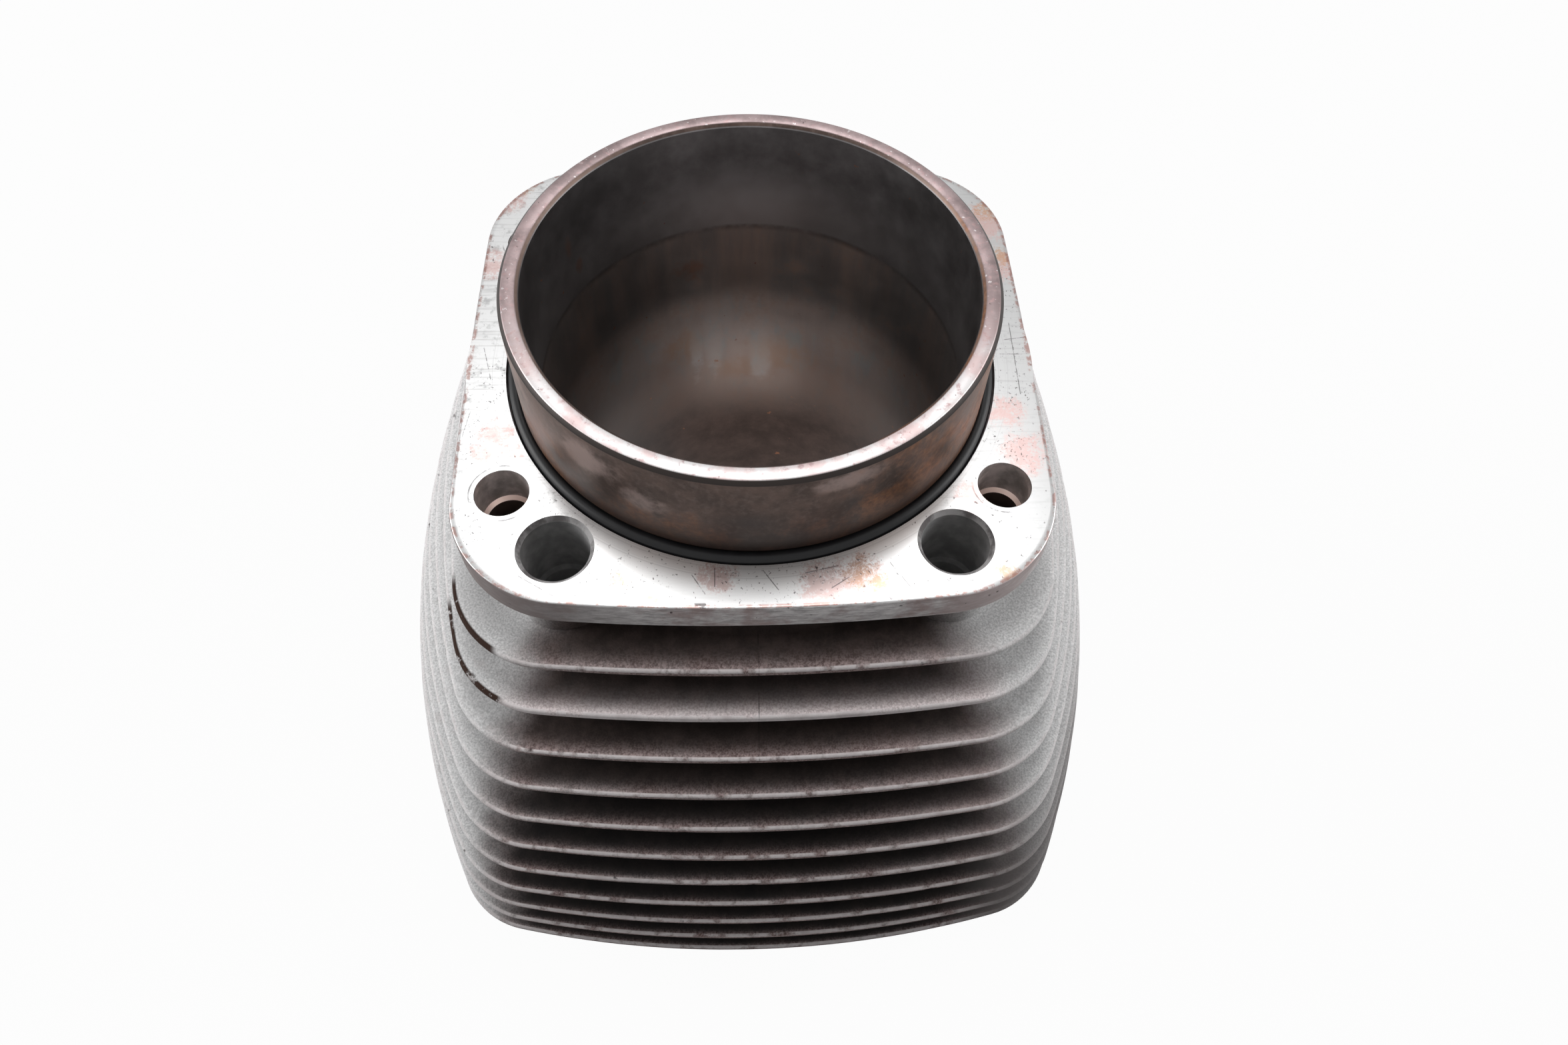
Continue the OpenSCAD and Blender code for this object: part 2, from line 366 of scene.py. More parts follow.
def plate_position(g, size, plate, column, row):
    """Where a vertex of the grid goes on its plate."""
    angle = column * (math.tau / COLUMNS)
    reach, half_d, is_fin = outline_reach(g, size, plate, angle)
    flat = g.join(angle.math("COSINE"), angle.math("SINE"), plate * NOISE_STEP)

    # Wear pushes the edge inwards here and there, and more on the thin fins than on the flange
    wobble = g.noise(flat, WOBBLE_WAVES, 2.0, 0.5, size["Seed"]) - 0.5
    knocks = g.noise(flat, KNOCK_WAVES, 3.0, 0.6, size["Seed"] + 5.0).ramp(0.66, 0.8)
    wear = size["Edge Wear"] * (wobble * 0.5 - knocks) * (is_fin * 0.85 + 0.15)
    reach = reach + wear.math("MINIMUM", 0.0)

    # Rows run from the root out over the top face, round the edge and back below
    half_rows = SECTION_ROWS / 2
    upper = 1 - row.over(half_rows - 0.5)
    from_root = (upper * row + (1 - upper) * (SECTION_ROWS - 1 - row)) / (half_rows - 1)
    from_root = from_root.math("MAXIMUM", 0.0)
    face = (from_root / FACE_SHARE).clamp()
    turn = ((from_root - FACE_SHARE) / (1 - FACE_SHARE)).clamp() * (math.pi / 2)
    fin_edge, flange_edge = size["Fin Edge Rounding"], size["Flange Edge Rounding"]
    edge = flange_edge + (fin_edge - flange_edge) * is_fin
    inward = (reach - edge - size["Root Radius"]) * (1 - face) ** 2
    radius = reach - edge * (1 - turn.math("SINE")) - inward

    # A fin thickens towards its root, the flange doesn't, and the deck is flat below
    fin_half = size["Tip Thickness"] / 2 + (half_d - radius) * size["Draft Slope"]
    is_deck = plate.over(size["Fin Count"] - 0.5)
    flat_below = is_deck * (1 - upper)
    fin_half = fin_half * (1 - flat_below) + size["Tip Thickness"] / 2 * flat_below
    half = size["Flange Thickness"] / 2 * (1 - is_fin) + fin_half * is_fin
    height = (half - edge * (1 - turn.math("COSINE"))) * (upper * 2 - 1)

    # A casting's fins are never quite flat
    sag = (g.noise(flat, WARP_WAVES, 1.0, 0.5, size["Seed"] + 9.0) - 0.5) * size["Fin Warp"]
    outwards = ((radius - size["Root Radius"]) / (reach - size["Root Radius"])).clamp()
    height = height + sag * outwards * is_fin * (1 - is_deck)

    fin_middle = size["Flange Underside"] - size["Fin Pitch"] * plate + size["Tip Thickness"] / 2
    flange_middle = size["Flange Underside"] + size["Flange Thickness"] / 2
    middle = flange_middle * (1 - is_fin) + fin_middle * is_fin
    return g.join(angle.math("COSINE") * radius, angle.math("SINE") * radius, middle + height)


def plates_tree():
    """The tree that makes the flange and the fins."""
    tree = bpy.data.node_groups.new("plates", "GeometryNodeTree")
    g, size = plate_inputs(tree)
    grid = g.node("GeometryNodeMeshGrid", sockets={
        "Size X": float(COLUMNS), "Size Y": float(SECTION_ROWS),
        "Vertices X": COLUMNS + 1, "Vertices Y": SECTION_ROWS + 1,
    })
    count = size["Fin Count"] + 1
    points = g.node("GeometryNodeMeshLine", sockets={"Count": count, "Offset": (0.0, 0.0, 0.0)})
    numbered = stored(g, points, "plate", g.node("GeometryNodeInputIndex"))
    copies = g.node("GeometryNodeInstanceOnPoints", sockets={"Points": numbered, "Instance": grid})
    loose = g.node("GeometryNodeRealizeInstances", sockets={"Geometry": copies})
    x, y, _ = g.split(g.node("GeometryNodeInputPosition"))
    plate = g.node("GeometryNodeInputNamedAttribute", {"data_type": "FLOAT"}, {"Name": "plate"})
    column = (x + COLUMNS / 2).math("ROUND").math("MODULO", float(COLUMNS))
    row = (y + SECTION_ROWS / 2).math("ROUND").math("MODULO", float(SECTION_ROWS))
    place = plate_position(g, size, plate, column, row)
    bent = g.node("GeometryNodeSetPosition", sockets={"Geometry": loose, "Position": place})
    closed = g.node("GeometryNodeMergeByDistance", sockets={"Geometry": bent, "Distance": MERGE_DISTANCE})
    end_tree(g, size, g.node("GeometryNodeFlipFaces", sockets={"Mesh": closed}))
    return tree


# %% [markdown]
# A modifier runs the tree on an empty mesh, and the result is kept as a plain mesh. Its inputs
# are set by the identifiers of the tree's sockets.

# %% Make the plates


def link(name, mesh):
    """A new object at the origin that shows the mesh."""
    made = bpy.data.objects.new(name, mesh)
    bpy.context.scene.collection.objects.link(made)
    return made


def kept_mesh(source, name):
    """The object's mesh with all its modifiers applied."""
    graph = bpy.context.evaluated_depsgraph_get()
    mesh = bpy.data.meshes.new_from_object(source.evaluated_get(graph))
    mesh.name = name
    return mesh


def run_tree(name, tree, values, start=None):
    """The plain mesh that a tree makes from a mesh, or from nothing, and these input values."""
    carrier = link(name, start or bpy.data.meshes.new(name))
    modifier = carrier.modifiers.new("tree", "NODES")
    modifier.node_group = tree
    for item in tree.interface.items_tree:
        if item.in_out == "INPUT" and item.name in values:
            modifier[item.identifier] = values[item.name]
    mesh = kept_mesh(carrier, name)
    bpy.data.objects.remove(carrier)
    return mesh


aluminium = bpy.data.materials.new("cast_aluminium")
iron = bpy.data.materials.new("liner_iron")
rubber = bpy.data.materials.new("ring_rubber")

PLATE_VALUES = {**BARREL_SIZES, "Fin Count": FIN_COUNT, "Seed": 3.0, "Material": aluminium}
plates = run_tree("barrel_plates", plates_tree(), PLATE_VALUES)
print("plates:", len(plates.polygons), "faces")

# %% [markdown]
# ## Turned shapes
#
# Everything else is round about some axis: the wall between the fins, the columns that carry the
# holes, the holes themselves, the liner and the ring. One function turns an outline round an axis,
# as a lathe would. An outline that starts and ends on the axis gives a closed bar, and any other
# gives a closed ring.

# %% Turn an outline into a closed mesh


def turned(outline, segments, at=(0.0, 0.0)):
    """Vertices and faces of an outline of (radius, height) pairs, listed anticlockwise."""
    vertices, faces, rings = [], [], []
    for radius, height in outline:
        if radius == 0:
            rings.append([len(vertices)] * segments)
            vertices.append((at[0], at[1], height))
            continue
        rings.append(list(range(len(vertices), len(vertices) + segments)))
        for step in range(segments):
            angle = math.tau * step / segments
            x, y = radius * math.cos(angle), radius * math.sin(angle)
            vertices.append((at[0] + x, at[1] + y, height))
    closed = outline[0][0] > 0
    for low, high in zip(rings, rings[1:] + rings[:1] if closed else rings[1:]):
        for step in range(segments):
            after = (step + 1) % segments
            corners = [low[step], low[after], high[after], high[step]]
            faces.append(tuple(dict.fromkeys(corners)))
    return vertices, faces


def mesh_of(name, parts, material):
    """One mesh from several lots of vertices and faces."""
    vertices, faces = [], []
    for part_vertices, part_faces in parts:
        start = len(vertices)
        vertices += part_vertices
        faces += [tuple(start + corner for corner in face) for face in part_faces]
    mesh = bpy.data.meshes.new(name)
    mesh.from_pydata(vertices, [], faces)
    mesh.materials.append(material)
    return mesh


# %% [markdown]
# ## The barrel
#
# Between the fins the wall round the liner ends in half-round floors, as a sand core leaves them.
# Columns carry the four stud holes and the two oil passages from deck to flange. The plates, the
# wall and the columns are joined into one closed skin, and then the holes are cut from it: each
# stud hole opens into a wider seat for a dowel, and each oil passage into a chamfered mouth.

# %% Shape the wall, the columns and the holes
RING_GAP = 0.3 * MM
CLEAR = 1 * MM
groove_r = ring_outer_r + RING_GAP
GAP_FLOOR_STEPS = 10
DOWEL_SEAT_R, DOWEL_SEAT_DEPTH = 5.7 * MM, 9.3 * MM
PASSAGE_R, PASSAGE_MOUTH_DEPTH, PASSAGE_CHAMFER = 6.2 * MM, 18 * MM, 0.9 * MM
STUD_COLUMN_R, PASSAGE_COLUMN_R = stud_hole_r + 4.6 * MM, 10.2 * MM
WALL_SEGMENTS, STUD_SEGMENTS, PASSAGE_SEGMENTS = 144, 64, 96


def wall_outline():
    """The wall round the liner, with the sealing ring's counterbore and the gap floors."""
    outline = [(liner_r, 0.0), (root_r, 0.0)]
    gap_r = (fin_pitch - fin_tip_t) / 2
    for fin in range(FIN_COUNT, 0, -1):
        middle = flange_under - fin_pitch * fin + fin_tip_t + gap_r
        for step in range(GAP_FLOOR_STEPS + 1):
            angle = math.pi * step / GAP_FLOOR_STEPS
            outline.append((root_r - gap_r * math.sin(angle), middle - gap_r * math.cos(angle)))
    return outline + [
        (root_r, flange_face), (groove_r, flange_face), (groove_r, ring_low), (liner_r, ring_low),
    ]


def column(at, radius):
    """A bar from inside the deck to inside the flange."""
    top = flange_under + flange_t / 2
    return turned([(0, CLEAR), (radius, CLEAR), (radius, top), (0, top)], STUD_SEGMENTS, at)


def stud_hole(at):
    """A through hole that opens into a dowel seat at the flange."""
    floor = flange_face - DOWEL_SEAT_DEPTH
    return turned([
        (0, -CLEAR), (stud_hole_r, -CLEAR), (stud_hole_r, floor - (DOWEL_SEAT_R - stud_hole_r)),
        (DOWEL_SEAT_R, floor), (DOWEL_SEAT_R, flange_face + CLEAR), (0, flange_face + CLEAR),
    ], STUD_SEGMENTS, at)


def oil_passage(at):
    """A through hole, wider near the flange and chamfered at both ends."""
    step = flange_face - PASSAGE_MOUTH_DEPTH
    past_chamfer = PASSAGE_CHAMFER + CLEAR
    return turned([
        (0, -CLEAR), (PASSAGE_R + past_chamfer, -CLEAR), (PASSAGE_R, PASSAGE_CHAMFER),
        (PASSAGE_R, step - (passage_mouth_r - PASSAGE_R)), (passage_mouth_r, step),
        (passage_mouth_r, flange_face - PASSAGE_CHAMFER),
        (passage_mouth_r + past_chamfer, flange_face + CLEAR), (0, flange_face + CLEAR),
    ], PASSAGE_SEGMENTS, at)


STUDS = [(x * stud_x, y * stud_y) for x in (-1, 1) for y in (-1, 1)]
PASSAGES = [(-passage_x, passage_y), (passage_x, passage_y)]

# %% Join and cut the barrel
SHARP_ANGLE = math.radians(33)
SLIVER = 0.004 * MM


def smooth(mesh):
    """Cleans up slivers, and shades the mesh smooth apart from its true edges."""
    shape = bmesh.new()
    shape.from_mesh(mesh)
    bmesh.ops.remove_doubles(shape, verts=shape.verts, dist=SLIVER)
    bmesh.ops.dissolve_degenerate(shape, edges=shape.edges, dist=SLIVER)
    shape.to_mesh(mesh)
    shape.free()
    mesh.shade_smooth()
    mesh.set_sharp_from_angle(angle=SHARP_ANGLE)


def combine(target, operation, name, parts):
    """Joins parts to the target or cuts them from it."""
    tool = link(name, mesh_of(name, parts, aluminium))
    modifier = target.modifiers.new(name, "BOOLEAN")
    modifier.operation = operation
    modifier.solver = "MANIFOLD"
    modifier.object = tool
    return tool


blank = link("barrel_blank", plates)
holes = [stud_hole(at) for at in STUDS] + [oil_passage(at) for at in PASSAGES]
tools = [
    combine(blank, "UNION", "wall", [turned(wall_outline(), WALL_SEGMENTS)]),
    combine(blank, "UNION", "stud_columns", [column(at, STUD_COLUMN_R) for at in STUDS]),
    combine(blank, "UNION", "passage_columns", [column(at, PASSAGE_COLUMN_R) for at in PASSAGES]),
    combine(blank, "DIFFERENCE", "holes", holes),
]
casting = kept_mesh(blank, "casting")
for tool in [blank, *tools]:
    bpy.data.objects.remove(tool)
smooth(casting)
print("barrel:", len(casting.polygons), "faces")

# %% [markdown]
# ## How far in from the edge
#
# Soot and painted shade fade out along the edges of the fins, so the finish has to know how far
# each point is from the edge of its plate. A second tree runs the outline's formula again on the
# finished casting, and keeps the answer on each point under a name that the material can read.

# %% Measure the casting


def edge_tree():
    """The tree that keeps each point's distance from the edge of the nearest plate."""
    tree = bpy.data.node_groups.new("edge_measure", "GeometryNodeTree")
    g, size = plate_inputs(tree)
    x, y, z = g.split(g.node("GeometryNodeInputPosition"))
    below = size["Flange Underside"] + size["Tip Thickness"] / 2 - z
    plate = (below / size["Fin Pitch"]).math("ROUND").math("MAXIMUM", 0.0)
    reach = outline_reach(g, size, plate, y.math("ARCTAN2", x))[0]
    end_tree(g, size, stored(g, size["Geometry"], "from_edge", reach - length(x, y)))
    return tree


barrel = link("cast_barrel", run_tree("cast_barrel", edge_tree(), PLATE_VALUES, casting))

# %% [markdown]
# ## The liner and the sealing ring
#
# The liner is turned from one outline. Its rim has small chamfers with broken corners, and a
# shallow groove round the spigot's root seats the ring. The ring is a round cord that is
# flattened a little where it lies against the liner and on its floor.

# %% Turn the liner and the ring
RIM_CHAMFER = 0.8 * MM
LOWER_CHAMFER, BROKEN_CORNER = 0.5 * MM, 0.15 * MM
SQUEEZE = 0.1 * MM
cord_r = (ring_high - ring_low + SQUEEZE) / 2
seat_r = ring_outer_r - (ring_high - ring_low)
relief_top = ring_low + 2 * cord_r + RING_GAP
LINER_SEGMENTS, CORD_SEGMENTS = 288, 28


def liner_outline():
    """The liner's section, from the deck out and up to the rim, and back down the bore."""
    below_rim, below_corner = rim_z - RIM_CHAMFER, rim_z - BROKEN_CORNER / 2
    lowest = below_rim - BROKEN_CORNER
    outer_r, inner_r = spigot_r - RIM_CHAMFER, bore_r + RIM_CHAMFER
    return [
        (bore_r + LOWER_CHAMFER, 0.0), (liner_r, 0.0), (liner_r, ring_low), (seat_r, ring_low),
        (seat_r, relief_top), (spigot_r, relief_top),
        (spigot_r, lowest), (spigot_r - BROKEN_CORNER / 2, below_rim),
        (outer_r, below_corner), (outer_r - BROKEN_CORNER, rim_z),
        (inner_r + BROKEN_CORNER, rim_z), (inner_r, below_corner),
        (bore_r + BROKEN_CORNER / 2, below_rim), (bore_r, lowest), (bore_r, LOWER_CHAMFER),
    ]


def ring_outline():
    """The ring's section: a circle that stops at the liner and at its floor."""
    middle_r, middle_z = seat_r + cord_r - SQUEEZE, ring_low + cord_r - SQUEEZE
    outline = []
    for step in range(CORD_SEGMENTS):
        angle = math.tau * step / CORD_SEGMENTS
        radius = max(middle_r + cord_r * math.cos(angle), seat_r)
        outline.append((radius, max(middle_z + cord_r * math.sin(angle), ring_low)))
    return list(dict.fromkeys(outline))


liner = link("iron_liner", mesh_of("iron_liner", [turned(liner_outline(), LINER_SEGMENTS)], iron))
ring = link("rubber_ring", mesh_of("rubber_ring", [turned(ring_outline(), LINER_SEGMENTS)], rubber))
for piece in (liner, ring):
    smooth(piece.data)
    print(piece.name, len(piece.data.polygons), "faces")

# %% [markdown]
# ## Finishes
#
# A finish could be a picture wrapped round the object, but its seams would show. Each finish here
# is worked out from the place of a point on the object, so it has no seams and stays sharp close
# up. All three start by reading that place, and end in one Principled shader.

# %% Start a finish


def finish(material):
    """Clears a material and returns its graph and the point's place."""
    material.use_nodes = True
    graph = Graph(material.node_tree)
    place = graph.node("ShaderNodeTexCoord", out="Object")
    return graph, place


def surface(graph, sockets, bump=None, bump_distance=0.1 * MM):
    """Ends a material in a Principled shader with these socket values."""
    if bump is not None:
        sockets["Normal"] = graph.node("ShaderNodeBump", sockets={
            "Strength": 1.0, "Distance": bump_distance, "Height": bump,
        })
    shader = graph.node("ShaderNodeBsdfPrincipled", sockets=sockets)
    graph.node("ShaderNodeOutputMaterial", sockets={"Surface": shader})
    print("finish of", len(graph.tree.nodes), "nodes")


def highest(values):
    """The highest of several values."""
    top = values[0]
    for value in values[1:]:
        top = top.math("MAXIMUM", value)
    return top


# %% [markdown]
# ### Where the aluminium is cast and where it is machined
#
# The real barrel is grainy where it left the mould, and bright where a cutter has been: on the
# flange's face, in the holes and under the deck. Faces picked by hand could carry materials of
# their own. Zones that are 1 inside and 0 outside are simpler, and follow the sizes of the holes.

# %% Mark out the aluminium
g, place = finish(aluminium)
x, y, z = g.split(place)
radius = length(x, y)
facing_up = g.split(g.node("ShaderNodeTexCoord", out="Normal"))[2]
from_edge = g.node("ShaderNodeAttribute", {"attribute_name": "from_edge"}, out="Fac")


def hole_distance(at_x, at_y):
    """Distance from the nearest of the hole axes at plus and minus at_x."""
    return length(x.math("ABSOLUTE") - at_x, y - at_y)


flange_zone = z.ramp_mm(-0.05, 0.05, flange_under)
face_zone = z.ramp_mm(-0.12, -0.05, flange_face) * facing_up.ramp(0.6, 0.9)
deck_zone = z.ramp_mm(0.15, 0.05) * facing_up.ramp(-0.6, -0.9)
stud_distance = hole_distance(stud_x, -stud_y).math("MINIMUM", hole_distance(stud_x, stud_y))
passage_distance = hole_distance(passage_x, passage_y)
below_face = z.ramp_mm(-0.02, -0.06, flange_face)
stud_zone = stud_distance.ramp_mm(0.3, 0.1, DOWEL_SEAT_R) * below_face
mouth_edge = passage_mouth_r + PASSAGE_CHAMFER
passage_zone = passage_distance.ramp_mm(0.3, 0.1, mouth_edge) * below_face
machined = highest([face_zone, deck_zone, stud_zone, passage_zone])

# %% [markdown]
# ### Cast skin, soot and painted shade
#
# A fin as cast is pale grey, with the grain of the sand. Oil and heat have laid soot between the
# fins at the front and back, darker on the lower fins, and painted shade deepens it far in between
# the fins and on their undersides. Both fade towards each edge, where the metal has gone mauve and
# the outer band is painted lighter, as light falling past the fin above. Paint on eleven fins
# would be wrong as soon as a size changed, so the distance from the edge that was kept above
# drives the fade, and noise breaks it up.

# %% Tone the cast skin
CAST = (0.46, 0.458, 0.46), (0.84, 0.835, 0.835)
CAST_SHADE = (0.5, 0.44, 0.435)
# Soot tones, made dark enough to stand in also for painted shade between the fins
SOOT_AND_SHADE = (0.04, 0.03, 0.027), (0.085, 0.062, 0.056)
LOW_SOOT_AND_SHADE = (0.01, 0.009, 0.009), (0.022, 0.018, 0.017)
WORN_EDGE_HIGHLIGHT = (0.62, 0.56, 0.56), (0.92, 0.88, 0.88)

sand = g.noise(place, 2300, 3, 0.6)
clouds = g.noise(place, 45, 4, 0.6, 2.0)
fine_clouds = g.noise(place, 210, 4, 0.6, 4.0)
cloudy = fine_clouds.ramp(0.35, 0.7)
low_fins = z.ramp_mm(98, 60)
clean_cast = g.layers(g.mix(sand.ramp(0.25, 0.75), *CAST), (fine_clouds.ramp(0.55, 0.8) * 0.4, CAST_SHADE))
soot_and_shade = g.mix(low_fins, g.mix(cloudy, *SOOT_AND_SHADE), g.mix(cloudy, *LOW_SOOT_AND_SHADE))
worn_edge_highlight = g.mix(fine_clouds.ramp(0.3, 0.7), *WORN_EDGE_HIGHLIGHT)

# %% Lay the soot and painted shade, and fade them towards the edges
MAUVE = (0.14, 0.095, 0.09), (0.41, 0.315, 0.305)
PAINTED_LIGHT_MAUVE = (0.6, 0.51, 0.5)
SECOND_FIN_TONES = (0.56, 0.48, 0.48), (0.95, 0.86, 0.86)
CLEAN_WIDTH_MM = 0.9
SHORTEST_FADE_MM = 0.2

uneven = clouds - 0.5
# Painted light on the right side: less soot, a longer fade and paler mauve there
lit_right_side = x.ramp_mm(10, 55) * z.ramp_mm(20, 60)
lowest_fins = z.ramp_mm(50, 30)
second_fin = z.ramp_mm(94, 95.5) * z.ramp_mm(101, 99.5)
towards_front = y.math("ABSOLUTE") / radius + uneven * 0.1
# The front and back sectors carry soot and painted shade together
soot_and_shade_sector = (towards_front - lit_right_side * 0.018 - z.ramp_mm(103, 105) * 0.012).ramp(0.75, 0.85)

fade_mm = 0.7 + z.ramp_mm(50, 106) * 1.1 + second_fin * 0.35 + lit_right_side * 0.8 + uneven * 1.2
fade_length = (fade_mm - lowest_fins * 0.3).math("MAXIMUM", SHORTEST_FADE_MM) * MM
past_clean = CLEAN_WIDTH_MM * MM - lowest_fins * 0.2 * MM - from_edge
# The fade lightens the outer band of each fin as painted light falling past the fin above, and leaves the
# undersides in painted shade
fade = (past_clean / fade_length).math("EXPONENT").math("MINIMUM", 1.0) * facing_up.ramp(-0.6, -0.1)

grain = (sand * 0.5 + g.noise(place, 900, 4, 0.7, 14.0) * 0.5).ramp(0.4, 0.6)
mauve = g.layers(
    g.mix(grain, *MAUVE),
    # Paler mauve on the right side is painted light
    (lit_right_side * 0.35, PAINTED_LIGHT_MAUVE),
    (second_fin * 0.8, g.mix(sand.ramp(0.3, 0.7), *SECOND_FIN_TONES)),
)
rubbed = g.mix(soot_and_shade_sector * (clouds.ramp(0.25, 0.6) * 0.3 + 0.7), clean_cast, mauve)
fin_colour = g.mix(soot_and_shade_sector * (1 - fade), rubbed, soot_and_shade)

# %% [markdown]
# ### Edges and marks of the fins
#
# The upper edges are worn bright and have dark nicks, and where they face up the bright line is
# also a painted highlight. Painted shade darkens the casting low on the right, a mould seam runs
# down the front, and burnt oil has dried at the left corner. Each is one layer over the colour so
# far: an amount from 0 to 1, and a tint.

# %% Colour the fins
DARK_NICK = (0.035, 0.025, 0.024)
LOW_RIGHT_SHADE = (0.14, 0.127, 0.125)
SEAM_LINE = (0.015, 0.012, 0.012)
BURNT_OIL = (0.032, 0.016, 0.011)

# A painted highlight along the edges where they face up, laid over worn bright metal; the second fin's edge
# gets it further round
lit_edge = (facing_up + second_fin * 0.5).ramp(0.05, 0.35)
edge_highlight_line = from_edge.ramp_mm(0.85, 0.6) * lit_edge * fine_clouds.ramp(0.64, 0.46)
edge_nicks = g.noise(place, 160, 3, 0.7, 8.0).ramp(0.66, 0.72) * from_edge.ramp_mm(1.6, 1.0)
# Painted shade on the lower fins at the right front
low_right_shade = z.ramp_mm(72, 20) * x.ramp_mm(46, 66) * y.ramp_mm(-20, -60)
seam = x.math("ABSOLUTE").ramp_mm(0.25, 0.08) * z.ramp_mm(85, 88) * fine_clouds.ramp(0.42, 0.6)
burnt_left = z.ramp_mm(94, 95) * x.ramp_mm(-53, -55) * y.ramp_mm(-45, -49)
burnt_line = from_edge.ramp_mm(1.25, 0.8) * (fine_clouds * 0.8 + sand * 0.2).ramp(0.38, 0.47)
fin_colour = g.layers(
    fin_colour,
    (edge_highlight_line * (soot_and_shade_sector * 0.6 + 0.4), worn_edge_highlight),
    (edge_nicks * 0.85, DARK_NICK),
    (low_right_shade * 0.85, LOW_RIGHT_SHADE),
    (seam * 0.5, SEAM_LINE),
    (burnt_left * burnt_line, BURNT_OIL),
)

# %% [markdown]
# ### The flange's edge
#
# A cutter has left fine lines along the flange's edge. Noise that is stretched five times along x
# and y gives such lines without a picture. Brown stains, pits and a brighter line at the lower
# corner lie over them, and the left end is darker than the right.

# %% Colour the flange's edge
MILLED = (0.25, 0.238, 0.238), (0.56, 0.54, 0.54)
BROWN_STAIN = (0.2, 0.13, 0.122)
BRIGHT_CORNER = (0.7, 0.68, 0.68)
DARK_END, PALE_END = (0.17, 0.155, 0.152), (0.66, 0.61, 0.61)
PIT = (0.04, 0.03, 0.03)

milling = g.noise(g.join(x * 0.2, y * 0.2, z), 1300, 5, 0.75)
side_stain = (clouds + fine_clouds * 0.5 + x.math("ABSOLUTE").ramp_mm(26, 50) * 0.1).ramp(0.7, 0.9)
bottom_line = z.ramp_mm(0.7, 0.3, flange_under)
side_colour = g.layers(
    g.mix(milling.ramp(0.3, 0.68), *MILLED),
    (side_stain * 0.7, BROWN_STAIN),
    (bottom_line * fine_clouds.ramp(0.35, 0.55) * 0.5, BRIGHT_CORNER),
    (x.ramp_mm(-16, -42) * 0.65, DARK_END),
    (x.ramp_mm(28, 50) * 0.3, PALE_END),
    (g.noise(place, 620, 2, 0.5, 6.0).ramp(0.7, 0.74) * 0.8, PIT),
)

# %% [markdown]
# ### The flange's face
#
# The face was turned flat, and has fine lines, pink and orange stains, dark flecks and a few long
# scratches. Noise alone would put them anywhere, so short lists hold their places, in millimetres,
# and noise only breaks up their borders. A stain or a fleck is its x, its y and its reach.

# %% Place the marks of the face
PINK_PLACES = [
    (-55, -21, 6), (-57, -26, 5), (-51, -26, 4), (55, -17, 7), (58, -28, 9), (45, -39, 6), (13, -59, 8),
    (-61, 29, 7), (-60, 52, 8), (59, 42, 11), (62, 27, 8), (-8, -57, 6), (20, -58, 9),
]
ORANGE_PLACES = [
    (-27.3, -57.6, 4), (20.5, -56.5, 6), (24, -59, 4.5), (50, -57, 4), (-21, -62, 3), (61, 30, 6),
    (-56, 56, 5), (59.5, 46, 6),
]
FLECK_PLACES = [
    (-61, -24, 5), (-60.5, -18, 5), (-59, -8, 10), (56, -10, 9), (59, 2, 10), (-19, -52, 9), (1, -57, 12),
    (17, -56, 9), (-38, -42, 9), (57, -27, 9), (-30, -60, 9), (-61, -45, 12), (60, 20, 10),
]
SCRATCH_ENDS = [
    ((1.1, -55.8), (4.0, -60.2)), ((-8.5, -55.1), (-8.5, -59.2)), ((56.3, -0.4), (62.5, -0.5)),
    ((55.6, 3.5), (62.9, 4.6)), ((14.5, -60), (19, -57)), ((-47, -56), (-40, -60.5)),
    ((-62, -22), (-61, -15)), ((-60, 3), (-57.6, -6)), ((30, -60), (26.5, -54.5)),
    ((9.5, -56.5), (16, -55)), ((-13, -56.5), (-10.4, -60.8)), ((59.2, -12), (59.6, 9)),
]


def near(at_x, at_y, reach):
    """1 in the middle of a round patch on the flange's face, falling to 0 at its reach."""
    return length(x - at_x * MM, y - at_y * MM).ramp_mm(reach, 0)


def scratch(start, end):
    """1 along a thin straight line on the flange's face."""
    step_x, step_y = (end[0] - start[0]) * MM, (end[1] - start[1]) * MM
    from_x, from_y = x - start[0] * MM, y - start[1] * MM
    along = ((from_x * step_x + from_y * step_y) / (step_x ** 2 + step_y ** 2)).clamp()
    return length(from_x - along * step_x, from_y - along * step_y).ramp_mm(0.16, 0.05)


# %% Tone the face
FACE = (0.56, 0.56, 0.56), (0.42, 0.42, 0.42)
BRUSHED = (0.34, 0.335, 0.335)
SCRAPED = (0.3, 0.3, 0.3)
RING_LIGHT_TONE = (0.9, 0.9, 0.9)
TURNED_LINE = (0.27, 0.27, 0.27)

rough_mix = g.noise(place, 420, 5, 0.7, 11.0)
broken = rough_mix * 0.5 + g.noise(place, 1900, 4, 0.75, 17.0) * 0.5
brushed = g.noise(g.join(x * 0.05, y, z), 1500, 3, 0.6)
turned_marks = g.noise(g.join(radius, 0.0, 0.0), 1900, 3, 0.7)
front = y.ramp_mm(-38, -52).math("MAXIMUM", x.ramp_mm(36, 58))
# Painted light on the face in front of the ring, lifting the spigot's shade there
painted_light_by_ring = radius.ramp_mm(10, 4, groove_r) * y.ramp_mm(-40, -50)
near_ring = radius.ramp_mm(8, 1, groove_r)
face_colour = g.layers(
    g.mix(front, *FACE),
    (brushed.ramp(0.5, 0.7) * 0.6, BRUSHED),
    (rough_mix.ramp(0.52, 0.68) * (0.75 - front * 0.45), SCRAPED),
    (painted_light_by_ring * 0.85, RING_LIGHT_TONE),
    (turned_marks.ramp(0.5, 0.72) * near_ring * 0.45, TURNED_LINE),
)

